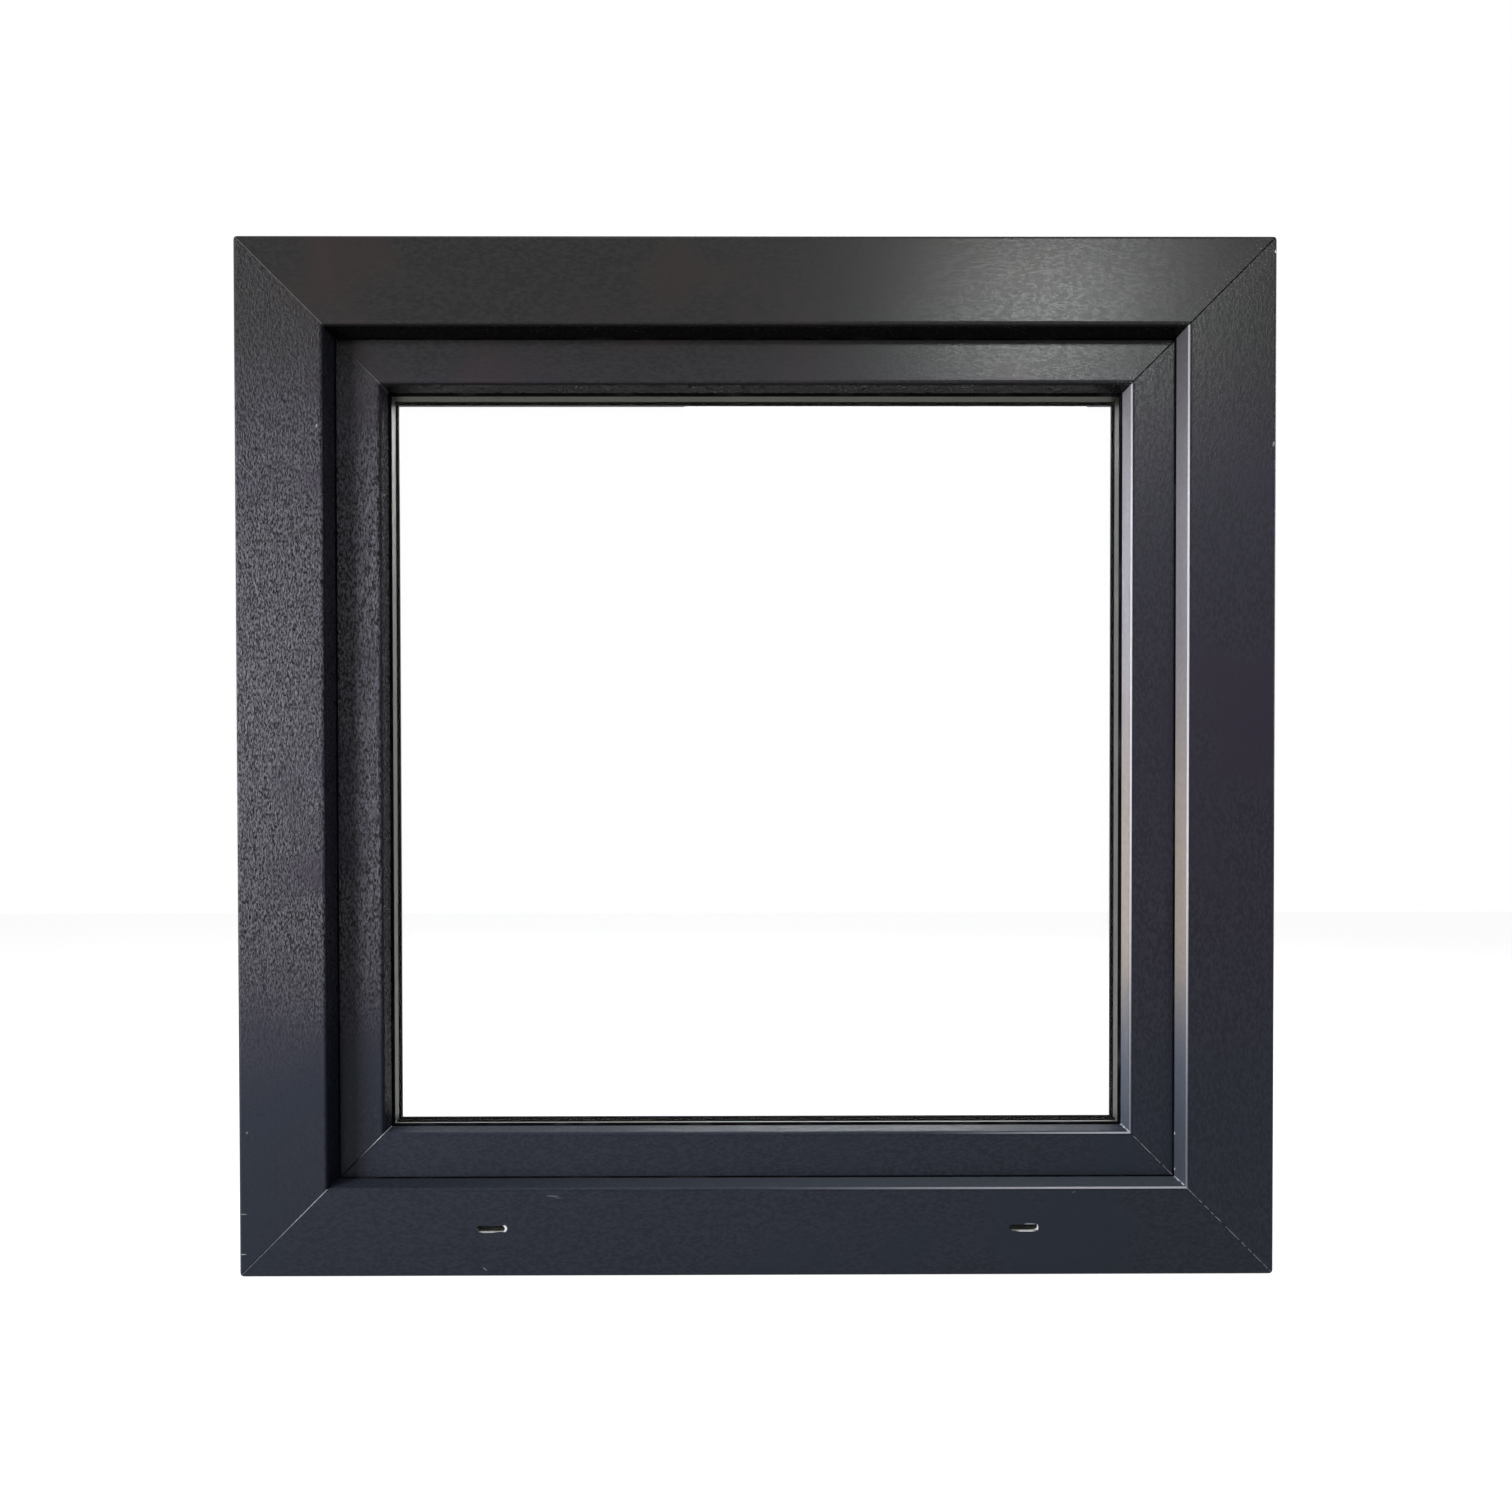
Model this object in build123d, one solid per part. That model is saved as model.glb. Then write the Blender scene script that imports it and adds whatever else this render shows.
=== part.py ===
from build123d import *
from math import radians, sqrt, tan
import os

# Tilt and turn window: a plastic outer frame, one sash that opens into the room, and double
# glazing. It is shown closed. All sizes are in millimetres.
#
# X runs along the sill, Y from outdoors to the room, Z up. The origin is on the underside of
# the outer frame, at the middle of its length and of its depth.
#
# Every extrusion is drawn once as a section, and then laid along the four sides of the window
# with its ends mitred. A section point is (inward, depth): inward is measured from the outer
# edge of the frame towards the glass, depth from the outdoor face of the frame to the room.

# Whole window
window_width = 800.0
window_height = 800.0

# Outer frame extrusion
frame_depth = 70.0
frame_face = 68.0           # width of the outdoor face
frame_leg = 16.5            # depth of the leg that the sash closes against
frame_inner = 45.0          # height of the frame on the room side
rebate_fall = 2.5           # fall of the rebate floor towards outdoors
leg_slope = 14.0            # degrees, on the inward side of the leg
outer_edge_radius = 2.5     # between the outdoor face and the outer edge
corner_radius = 5.0         # of the four dressed corners
land_width = 22.0           # flat between the two grooves in the outer edge
edge_groove_width = 10.0
edge_groove_depth = 4.0
edge_groove_lip = 1.2

# Water drains of the frame and of the sash
drain_chamber_height = 8.0
drain_chamber_overlap = 7.5  # how far the frame's drain chamber reaches in under the rebate
sash_drain_reach = 8.0       # how far the sash's drain chamber reaches in under the glass
drain_slot_length = 22.0
drain_slot_width = 5.0
drain_slot_to_corner = 194.0
drain_stagger = 60.0         # along the sill, from one row of slots to the next further in

# Sash extrusion
overlap_thickness = 16.5
sash_core = 33.0            # from the hardware side up to the floor under the glass
sash_body = 48.8            # from the hardware side to the end of the outdoor face
glazing_leg = 12.0          # depth of the leg in front of the glass
glazing_leg_slope = 18.0    # degrees, on the inward side of the leg
rebate_air = 12.0           # air between frame and sash, where the fittings run
overlap = 20.0              # how far the sash covers the frame on the room side
fitting_axis = 13.0         # from the overlap to the middle of the fittings groove
fitting_mouth = 12.0
fitting_step = 3.0
fitting_channel = 8.4
fitting_channel_depth = 8.0

# Walls shared by both extrusions
outer_wall = 3.0
web = 1.6
face_radius = 3.0           # on the long edges that show
nose_radius = 0.8
weld_groove = 0.6           # depth of the cleaned groove along each welded mitre

# Seals and their grooves
closing_gap = 3.5           # squeezed height of the seals between frame and sash
glazing_gap = 2.5           # squeezed height of the seal in front of the glass
bead_gap = 3.0              # squeezed height of the seal behind the glass
seal_groove_width = 3.0
seal_groove_depth = 3.2
seal_play = 0.2
outdoor_lip = 1.6           # how far the outdoor glazing seal shows past its leg
room_lip = 0.7              # how far the room side glazing seal shows past its bead
seal_back = 3.0             # from a seal's groove to the blunt side of its head
seal_tip = 0.3              # radius on the free tips of a seal's head
seal_crown = 0.5            # height of the lip side of a seal's head, as a share of the head
seal_heel = 0.25            # height of the blunt side, as a share of the head
overlap_seal_lip = 2.2      # how far the overlap seal's head reaches past its groove, outward
overlap_seal_heel = 0.8     # and inward
closing_seal_inset = 5.0    # from the end of the frame leg to the seal groove
glazing_seal_inset = 3.0
overlap_seal_inset = 3.5

# Glazing unit and beads
pane_thickness = 4.0
cavity = 16.0
glass_clearance = 6.0       # from the glass edge to the floor under it
edge_seal_height = 6.5
spacer_height = 7.0
spacer_taper = 3.0
packer_length = 80.0
packer_to_glass_corner = 100.0
bead_setback = 1.5          # bead behind the room face of the sash
bead_nose = 3.0
bead_slope = 18.0           # degrees
bead_wall = 1.6
bead_radius = 4.0
bead_groove_setback = 16.0  # from the room face of the sash to the bead groove
bead_groove_mouth = 4.0
bead_groove_depth = 6.0
bead_groove_lip = 1.5
bead_groove_undercut = 1.2
bead_play = 0.3

# Handle, on the room side
handle_backset = 15.0       # from the hardware side of the sash to the spindle
rosette_width = 31.0
rosette_height = 68.0
rosette_thickness = 10.0
rosette_corner = 8.0
rosette_edge = 1.5          # chamfer round the room side
collar_radius = 11.0
collar_height = 1.5
neck_radius = 8.5
lever_top_radius = 11.5
lever_tip_radius = 9.0
lever_length = 118.0        # from the spindle down to the tip
lever_standoff = 22.0       # from the rosette to the back of the lever
lever_thickness = 12.0
lever_tip_thickness = 9.0
lever_bow = 3.5             # how far the grip bows into the room
lever_edge = 1.5            # chamfer on every edge of the grip

# Hinges, on the room side
hinge_to_overlap = 9.0      # from the hinge axis to the edge of the sash
hinge_standoff = 10.0       # from the room face of the frame to the hinge axis
knuckle_radius = 6.0
pin_radius = 2.75
pin_play = 0.05
pin_head_radius = 4.5
pin_head_height = 1.5
bearing_height = 26.0
bearing_arm = 7.0
bearing_to_overlap_end = 6.0
band_height = 48.0
band_leaf = 2.0
band_leaf_depth = 12.0
hinge_cap_wall = 2.0
hinge_cap_play = 0.3
hinge_cap_chamfer = 1.0

# Shapes that cut others stand proud of them by this much
cutter_margin = 1.0
groove_cutter_margin = 0.3

# Places that follow from the sizes
leg_run = tan(radians(leg_slope))
frame_front = -frame_depth / 2
frame_leg_end = frame_face + leg_run * frame_leg
rebate_floor = frame_inner - rebate_fall
front_groove = frame_depth / 2 - land_width / 2 - edge_groove_width
back_groove = frame_depth / 2 + land_width / 2
chamber_floor = edge_groove_depth + outer_wall
frame_drain_end = frame_leg + drain_chamber_overlap
drain_inward = rebate_floor - outer_wall - drain_slot_width / 2

sash_front = frame_leg + closing_gap
overlap_front = frame_depth + closing_gap
sash_back = overlap_front + overlap_thickness
sash_outer = frame_inner + rebate_air
overlap_edge = sash_outer - overlap
sash_face_end = sash_outer + sash_body
glazing_leg_back = sash_front + glazing_leg
glazing_leg_run = tan(radians(glazing_leg_slope))
sash_leg_end = sash_face_end + glazing_leg_run * glazing_leg
glazing_floor = sash_outer + sash_core
fitting_centre = overlap_front - fitting_axis
bead_groove = sash_back - bead_groove_setback

glass_front = glazing_leg_back + glazing_gap
cavity_front = glass_front + pane_thickness
cavity_back = cavity_front + cavity
glass_back = cavity_back + pane_thickness
glass_edge = glazing_floor + glass_clearance
spacer_outer = glass_edge + edge_seal_height
spacer_inner = spacer_outer + spacer_height
bead_front = glass_back + bead_gap
bead_back = sash_back - bead_setback
bead_run = tan(radians(bead_slope))
sash_drain_end = glazing_leg_back + sash_drain_reach

closing_seal_groove = frame_leg_end - closing_seal_inset - seal_groove_width
glazing_seal_groove = sash_leg_end - glazing_seal_inset - seal_groove_width
overlap_seal_groove = overlap_edge + overlap_seal_inset
hinge_inward = overlap_edge - hinge_to_overlap
hinge_depth = frame_depth + hinge_standoff

SIDES = ("head", "sill", "left", "right")


def section(*corners):
    """A face from (inward, depth, radius) corners in order."""
    points = [(inward, depth) for inward, depth, _ in corners]
    radii = [radius for _, _, radius in corners]
    return make_face(FilletPolyline(*points, radius=radii, close=True))


def side_plane(side):
    """The plane of a side's section: local x is inward, local y is depth."""
    half = window_width / 2
    middle = window_height / 2
    origin, inward, along = {
        "sill": ((0, frame_front, 0), (0, 0, 1), (-1, 0, 0)),
        "head": ((0, frame_front, window_height), (0, 0, -1), (1, 0, 0)),
        "left": ((-half, frame_front, middle), (1, 0, 0), (0, 0, 1)),
        "right": ((half, frame_front, middle), (-1, 0, 0), (0, 0, -1)),
    }[side]
    return Plane(origin=origin, x_dir=inward, z_dir=along)


def side_length(side):
    return window_width if side in ("head", "sill") else window_height


def mitre_block(side):
    """The share of the window that one side's bars may fill, with 45 degree ends."""
    reach = sash_leg_end + outdoor_lip + cutter_margin
    half = side_length(side) / 2
    across = Plane(origin=side_plane(side).origin, x_dir=side_plane(side).x_dir, z_dir=(0, 1, 0))
    outline = Polyline(
        (-cutter_margin, half + cutter_margin),
        (-cutter_margin, -half - cutter_margin),
        (reach, reach - half),
        (reach, half - reach),
        close=True,
    )
    start = across.offset(-cutter_margin)
    return extrude(start * make_face(outline), amount=sash_back + 2 * cutter_margin)


def mitred_bar(side, face):
    """One section laid along one side, with mitred ends."""
    bar = extrude(side_plane(side) * face, amount=side_length(side) / 2, both=True)
    return bar & mitre_block(side)


def mitred_ring(face):
    """One section laid round all four sides and welded at the corners."""
    bars = [mitred_bar(side, face) for side in SIDES]
    return bars[0] + bars[1] + bars[2] + bars[3]


def weld_grooves(depth, into, start, end):
    """V grooves along the four mitres of a face, cut towards the depth direction into."""
    half_width = weld_groove + groove_cutter_margin
    wedge = make_face(
        Polyline(
            (-half_width, -groove_cutter_margin * into),
            (half_width, -groove_cutter_margin * into),
            (0, weld_groove * into),
            close=True,
        )
    )
    grooves = []
    for right in (-1, 1):
        for up in (-1, 1):
            corner = Vector(
                right * (window_width / 2 - start),
                frame_front + depth,
                window_height / 2 + up * (window_height / 2 - start),
            )
            diagonal = Vector(-right, 0, -up)
            across = Vector(0, 1, 0).cross(diagonal)
            place = Plane(origin=corner, x_dir=across, z_dir=diagonal)
            grooves.append(extrude(place * wedge, amount=(end - start) * sqrt(2)))
    return grooves


def rebate_height(depth):
    """How far inward the sloped rebate floor of the frame lies at a depth."""
    return rebate_floor + rebate_fall * (depth - frame_leg) / (frame_depth - frame_leg)


def box_section(low, start, high_front, high_back, end):
    """A chamber between two depths whose top may slope from high_front to high_back."""
    return section((low, start, 0), (high_front, start, 0), (high_back, end, 0), (low, end, 0))


def frame_section():
    """Outer frame: stop leg outdoors, rebate for the sash, chambers and grooved outer edge."""
    groove_end = closing_seal_groove + seal_groove_width
    groove_floor = frame_leg - seal_groove_depth
    edge_grooves = []
    for start in (back_groove, front_groove):
        end = start + edge_groove_width
        edge_grooves += [
            (0, end - edge_groove_lip, 0),
            (edge_groove_lip, end - edge_groove_lip, 0),
            (edge_groove_lip, end, 0),
            (edge_groove_depth, end, 0),
            (edge_groove_depth, start, 0),
            (edge_groove_lip, start, 0),
            (edge_groove_lip, start + edge_groove_lip, 0),
            (0, start + edge_groove_lip, 0),
        ]
    outline = section(
        (0, 0, outer_edge_radius),
        (frame_face, 0, face_radius),
        (frame_leg_end, frame_leg, nose_radius),
        (groove_end, frame_leg, 0),
        (groove_end, groove_floor, 0),
        (closing_seal_groove, groove_floor, 0),
        (closing_seal_groove, frame_leg, 0),
        (rebate_floor, frame_leg, nose_radius),
        (frame_inner, frame_depth, nose_radius),
        (0, frame_depth, nose_radius),
        *edge_grooves,
    )
    leg_end = groove_floor - web
    leg_back = frame_leg - outer_wall
    roof = rebate_floor - outer_wall
    drain_low = roof - drain_chamber_height
    main_start = frame_drain_end + web
    main_end = back_groove - web
    rear_start = back_groove
    rear_end = back_groove + edge_groove_width
    room_start = rear_end + web
    room_end = frame_depth - outer_wall
    under_drain = drain_low - web
    chambers = [
        box_section(outer_wall, outer_wall, under_drain, under_drain, front_groove - web),
        box_section(drain_low, outer_wall, roof, roof, frame_drain_end),
        section(
            (roof + web, outer_wall, 0),
            (frame_face - outer_wall, outer_wall, 0),
            (frame_face - outer_wall + leg_run * (leg_end - outer_wall), leg_end, 0),
            (closing_seal_groove - web, leg_end, 0),
            (closing_seal_groove - web, leg_back, 0),
            (roof + web, leg_back, 0),
        ),
        section(
            (chamber_floor, front_groove, 0),
            (under_drain, front_groove, 0),
            (under_drain, main_start, 0),
            (rebate_height(main_start) - outer_wall, main_start, 0),
            (rebate_height(main_end) - outer_wall, main_end, 0),
            (chamber_floor, main_end, 0),
        ),
        box_section(
            chamber_floor,
            rear_start,
            rebate_height(rear_start) - outer_wall,
            rebate_height(rear_end) - outer_wall,
            rear_end,
        ),
        box_section(
            outer_wall,
            room_start,
            rebate_height(room_start) - outer_wall,
            rebate_height(room_end) - outer_wall,
            room_end,
        ),
    ]
    for chamber in chambers:
        outline -= chamber
    return outline


def sash_section():
    """Sash: glazing leg outdoors, glass and bead rebate, fittings groove and room side overlap."""
    glazing_groove_end = glazing_seal_groove + seal_groove_width
    glazing_groove_floor = glazing_leg_back - seal_groove_depth
    overlap_groove_end = overlap_seal_groove + seal_groove_width
    overlap_groove_floor = overlap_front + seal_groove_depth
    bead_groove_end = bead_groove + bead_groove_mouth
    step = sash_outer + fitting_step
    channel = sash_outer + fitting_channel_depth
    mouth_high = fitting_centre + fitting_mouth / 2
    mouth_low = fitting_centre - fitting_mouth / 2
    channel_high = fitting_centre + fitting_channel / 2
    channel_low = fitting_centre - fitting_channel / 2
    outline = section(
        (sash_outer, sash_front, 0),
        (sash_face_end, sash_front, face_radius),
        (sash_leg_end, glazing_leg_back, nose_radius),
        (glazing_groove_end, glazing_leg_back, 0),
        (glazing_groove_end, glazing_groove_floor, 0),
        (glazing_seal_groove, glazing_groove_floor, 0),
        (glazing_seal_groove, glazing_leg_back, 0),
        (glazing_floor, glazing_leg_back, nose_radius),
        (glazing_floor, bead_groove, 0),
        (glazing_floor - bead_groove_lip, bead_groove, 0),
        (glazing_floor - bead_groove_lip, bead_groove - bead_groove_undercut, 0),
        (glazing_floor - bead_groove_depth, bead_groove - bead_groove_undercut, 0),
        (glazing_floor - bead_groove_depth, bead_groove_end, 0),
        (glazing_floor, bead_groove_end, 0),
        (glazing_floor, sash_back, nose_radius),
        (overlap_edge, sash_back, face_radius),
        (overlap_edge, overlap_front, nose_radius),
        (overlap_seal_groove, overlap_front, 0),
        (overlap_seal_groove, overlap_groove_floor, 0),
        (overlap_groove_end, overlap_groove_floor, 0),
        (overlap_groove_end, overlap_front, 0),
        (sash_outer, overlap_front, 0),
        (sash_outer, mouth_high, 0),
        (step, mouth_high, 0),
        (step, channel_high, 0),
        (channel, channel_high, 0),
        (channel, channel_low, 0),
        (step, channel_low, 0),
        (step, mouth_low, 0),
        (sash_outer, mouth_low, 0),
    )
    low = sash_outer + outer_wall
    roof = glazing_floor - outer_wall
    front = sash_front + outer_wall
    leg_end = glazing_groove_floor - web
    leg_back = glazing_leg_back - outer_wall
    under_drain = roof - drain_chamber_height
    main_start = sash_drain_end + web
    under_bead = glazing_floor - bead_groove_depth - web
    fitting_start = mouth_high + web
    room_start = overlap_groove_floor + web
    chambers = [
        section(
            (low, front, 0),
            (roof, front, 0),
            (roof, sash_drain_end, 0),
            (under_drain, sash_drain_end, 0),
            (under_drain, leg_back, 0),
            (low, leg_back, 0),
        ),
        section(
            (roof + web, front, 0),
            (sash_face_end - outer_wall, front, 0),
            (sash_face_end - outer_wall + glazing_leg_run * (leg_end - front), leg_end, 0),
            (glazing_seal_groove - web, leg_end, 0),
            (glazing_seal_groove - web, leg_back, 0),
            (roof + web, leg_back, 0),
        ),
        section(
            (low, leg_back + web, 0),
            (under_drain - web, leg_back + web, 0),
            (under_drain - web, main_start, 0),
            (roof, main_start, 0),
            (roof, mouth_low - web, 0),
            (low, mouth_low - web, 0),
        ),
        box_section(channel + web, mouth_low, roof, roof, mouth_high),
        box_section(low, fitting_start, under_bead, under_bead, room_start - web),
        box_section(
            overlap_edge + outer_wall,
            room_start,
            under_bead,
            under_bead,
            sash_back - outer_wall,
        ),
    ]
    for chamber in chambers:
        outline -= chamber
    return outline


def bead_section():
    """Glazing bead: hollow, with a sloped room side and a barbed foot that snaps into the sash."""
    seal_groove_end = glazing_seal_groove + seal_groove_width
    groove_floor = bead_front + seal_groove_depth
    slope_start = bead_front + bead_nose
    shoulder = sash_leg_end - bead_run * (bead_back - slope_start)
    foot_front = bead_groove + bead_play
    foot_back = bead_groove + bead_groove_mouth - bead_play
    barb = bead_groove - bead_groove_undercut + bead_play
    barb_top = glazing_floor - bead_groove_lip - bead_play
    foot_end = glazing_floor - bead_groove_depth + bead_play
    outline = section(
        (glazing_floor, bead_front, 0),
        (glazing_seal_groove, bead_front, 0),
        (glazing_seal_groove, groove_floor, 0),
        (seal_groove_end, groove_floor, 0),
        (seal_groove_end, bead_front, 0),
        (sash_leg_end, bead_front, 0),
        (sash_leg_end, slope_start, nose_radius),
        (shoulder, bead_back, bead_radius),
        (glazing_floor, bead_back, 0),
        (glazing_floor, foot_back, 0),
        (foot_end, foot_back, 0),
        (foot_end, foot_front, 0),
        (barb_top, barb, 0),
        (barb_top, foot_front, 0),
        (glazing_floor, foot_front, 0),
    )
    low = glazing_floor + bead_wall
    start = groove_floor + bead_wall
    end = bead_back - bead_wall
    fall = bead_run * (end - start)
    top = sash_leg_end - bead_run * (start - slope_start) - bead_wall
    return outline - section(
        (low, start, 0),
        (top, start, 0),
        (top - fall, end, bead_radius - bead_wall),
        (low, end, 0),
    )


def seal_section(groove, seat, contact, lip, back):
    """A seal anchored in a groove behind seat, with its head squeezed against contact."""
    towards = 1 if contact > seat else -1
    anchor_low = groove + seal_play
    anchor_high = groove + seal_groove_width - seal_play
    anchor_end = seat - towards * (seal_groove_depth - seal_play)
    near, far = (anchor_high, anchor_low) if lip > back else (anchor_low, anchor_high)
    outward = 1 if lip > back else -1
    head = abs(contact - seat)
    return section(
        (near, anchor_end, 0),
        (near, seat, 0),
        (lip - outward * head * seal_crown, seat, 0),
        (lip, seat + towards * head * seal_crown, seal_tip),
        (lip, contact, 0),
        (back + outward * head * seal_crown, contact, 0),
        (back, seat + towards * head * seal_heel, seal_tip),
        (back, seat, 0),
        (far, seat, 0),
        (far, anchor_end, 0),
    )


def drain_slots(row, place, mouth, amount):
    """A row of two slots in a bottom member, cut from a plane at the middle of the sill."""
    reach = window_width / 2 - drain_slot_to_corner - row * drain_stagger
    return [extrude(place * Pos(x, 0) * mouth, amount=amount) for x in (-reach, reach)]


def upright_drain(row, depth, start, amount):
    """A row of square ended slots that run inward from a height in a bottom member."""
    place = Plane(origin=(0, frame_front + depth, start), x_dir=(1, 0, 0), z_dir=(0, 0, 1))
    return drain_slots(row, place, Rectangle(drain_slot_length, drain_slot_width), amount)


def frame_bars():
    """The four lengths of the outer frame, with weld grooves and the drains of the sill."""
    face = frame_section()
    front = Plane(origin=(0, frame_front, window_height / 2), x_dir=(1, 0, 0), z_dir=(0, 1, 0))
    dressed = extrude(
        front * RectangleRounded(window_width, window_height, corner_radius), amount=frame_depth
    )
    grooves = weld_grooves(0, 1, 0, frame_face)
    grooves += weld_grooves(frame_depth, -1, 0, frame_inner)
    bars = {side: (mitred_bar(side, face) & dressed) - grooves for side in SIDES}
    outdoors = Plane(origin=(0, frame_front, drain_inward), x_dir=(1, 0, 0), z_dir=(0, 1, 0))
    mouth = SlotOverall(drain_slot_length, drain_slot_width)
    bars["sill"] -= drain_slots(0, outdoors, mouth, outer_wall)
    roof = rebate_floor - outer_wall
    bars["sill"] -= upright_drain(1, frame_drain_end - drain_slot_width, roof, frame_inner - roof)
    return {
        "frame_head": bars["head"],
        "frame_sill": bars["sill"],
        "frame_jamb_left": bars["left"],
        "frame_jamb_right": bars["right"],
    }


def sash_bars():
    """The four lengths of the sash, with weld grooves and the drains under the glass."""
    face = sash_section()
    grooves = weld_grooves(sash_front, 1, sash_outer, sash_face_end)
    grooves += weld_grooves(sash_back, -1, overlap_edge, glazing_floor)
    bars = {side: mitred_bar(side, face) - grooves for side in SIDES}
    inner_drain = sash_drain_end - drain_slot_width
    outer_drain = sash_front + outer_wall + drain_slot_width / 2
    bars["sill"] -= upright_drain(2, inner_drain, glazing_floor - outer_wall, outer_wall)
    bars["sill"] -= upright_drain(3, outer_drain, sash_outer, outer_wall)
    return {
        "sash_top_rail": bars["head"],
        "sash_bottom_rail": bars["sill"],
        "sash_stile_left": bars["left"],
        "sash_stile_right": bars["right"],
    }


def bead_bars():
    """The four mitred glazing beads."""
    face = bead_section()
    names = {
        "head": "glazing_bead_top",
        "sill": "glazing_bead_bottom",
        "left": "glazing_bead_left",
        "right": "glazing_bead_right",
    }
    return {name: mitred_bar(side, face) for side, name in names.items()}


def seals():
    """The four seals, each a ring with welded corners."""
    closing = seal_section(
        closing_seal_groove,
        frame_leg,
        sash_front,
        frame_leg_end,
        closing_seal_groove - seal_back,
    )
    overlapping = seal_section(
        overlap_seal_groove,
        overlap_front,
        frame_depth,
        overlap_seal_groove - overlap_seal_lip,
        overlap_seal_groove + seal_groove_width + overlap_seal_heel,
    )
    before_glass = seal_section(
        glazing_seal_groove,
        glazing_leg_back,
        glass_front,
        sash_leg_end + outdoor_lip,
        glazing_seal_groove - seal_back,
    )
    behind_glass = seal_section(
        glazing_seal_groove,
        bead_front,
        glass_back,
        sash_leg_end + room_lip,
        glazing_seal_groove - seal_back,
    )
    return {
        "frame_stop_seal": mitred_ring(closing),
        "sash_overlap_seal": mitred_ring(overlapping),
        "glazing_seal_outside": mitred_ring(before_glass),
        "glazing_seal_inside": mitred_ring(behind_glass),
    }


def pane(front):
    """One sheet of glass whose outdoor face is at the given depth."""
    width = window_width - 2 * glass_edge
    height = window_height - 2 * glass_edge
    middle = frame_front + front + pane_thickness / 2
    return Pos(0, middle, window_height / 2) * Box(width, pane_thickness, height)


def spacer_bar():
    """Metal bar between the panes, narrower on the side of the edge seal."""
    shoulder = spacer_outer + spacer_taper
    return mitred_ring(
        section(
            (spacer_outer, cavity_front + spacer_taper, 0),
            (shoulder, cavity_front, 0),
            (spacer_inner, cavity_front, 0),
            (spacer_inner, cavity_back, 0),
            (shoulder, cavity_back, 0),
            (spacer_outer, cavity_back - spacer_taper, 0),
        )
    )


def edge_seal():
    """Sealant that fills the edge of the glazing unit behind the spacer."""
    shoulder = spacer_outer + spacer_taper
    return mitred_ring(
        section(
            (glass_edge, cavity_front, 0),
            (shoulder, cavity_front, 0),
            (spacer_outer, cavity_front + spacer_taper, 0),
            (spacer_outer, cavity_back - spacer_taper, 0),
            (shoulder, cavity_back, 0),
            (glass_edge, cavity_back, 0),
        )
    )


def glazing_packers():
    """Two packers on each side, between the sash and the edge of the glazing unit."""
    face = section(
        (glazing_floor, glass_front, 0),
        (glass_edge, glass_front, 0),
        (glass_edge, glass_back, 0),
        (glazing_floor, glass_back, 0),
    )
    packers = []
    for side in SIDES:
        reach = side_length(side) / 2 - glass_edge - packer_to_glass_corner
        for along in (-reach, reach):
            place = side_plane(side).offset(along)
            packers.append(extrude(place * face, amount=packer_length / 2, both=True))
    return Compound(children=packers)


def handle_place(plane_x, plane_z):
    """A plane through the spindle axis on the room face of the sash."""
    x = window_width / 2 - sash_outer - handle_backset
    origin = (x, frame_front + sash_back, window_height / 2)
    return Plane(origin=origin, x_dir=plane_x, z_dir=plane_z)


def handle_rosette():
    """Cover plate with bevelled edges and a low collar round the neck."""
    face_on = handle_place((1, 0, 0), (0, 1, 0))
    plate = extrude(
        face_on * RectangleRounded(rosette_width, rosette_height, rosette_corner),
        amount=rosette_thickness,
    )
    plate = chamfer(plate.faces().sort_by(Axis.Y)[-1].edges(), rosette_edge)
    collar = extrude(face_on.offset(rosette_thickness) * Circle(collar_radius), amount=collar_height)
    return plate + collar


def handle_lever():
    """Round neck and a bowed, tapered grip that hangs down when the window is locked shut."""
    face_on = handle_place((1, 0, 0), (0, 1, 0))
    side_on = handle_place((0, 1, 0), (-1, 0, 0))
    neck_start = rosette_thickness + collar_height
    back = rosette_thickness + lever_standoff
    front = back + lever_thickness
    tip_front = back + lever_tip_thickness
    top = -lever_top_radius - cutter_margin
    tip = lever_length + cutter_margin
    middle = (top + tip) / 2
    front_line = ThreePointArc((front, top), (front + lever_bow, middle), (tip_front, tip))
    back_line = ThreePointArc((back, tip), (back + lever_bow, middle), (back, top))
    ends = Line(front_line @ 1, back_line @ 0) + Line(back_line @ 1, front_line @ 0)
    slab = extrude(side_on * make_face(front_line + back_line + ends), amount=-top, both=True)
    tip_round = Pos(0, lever_length - lever_tip_radius) * Circle(lever_tip_radius)
    outline = make_hull(Circle(lever_top_radius).edges() + tip_round.edges())
    grip = slab & extrude(face_on * outline, amount=front + lever_bow + cutter_margin)
    grip = chamfer(grip.edges(), lever_edge)
    neck_end = back + lever_thickness / 2
    neck = extrude(face_on.offset(neck_start) * Circle(neck_radius), amount=neck_end - neck_start)
    return grip + neck


def hinge_place(height):
    """A level plane through the hinge axis: local x is inward, local y is depth."""
    origin = (hinge_inward - window_width / 2, frame_front + hinge_depth, height)
    return Plane(origin=origin, x_dir=(1, 0, 0), z_dir=(0, 0, 1))


def upright(height, length, *faces):
    """Faces on the hinge's level plane, joined and raised by a length."""
    outline = faces[0]
    for face in faces[1:]:
        outline += face
    return extrude(hinge_place(height) * outline, amount=length)


def rectangle_from(x0, y0, x1, y1):
    return Pos((x0 + x1) / 2, (y0 + y1) / 2) * Rectangle(abs(x1 - x0), abs(y1 - y0))


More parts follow.
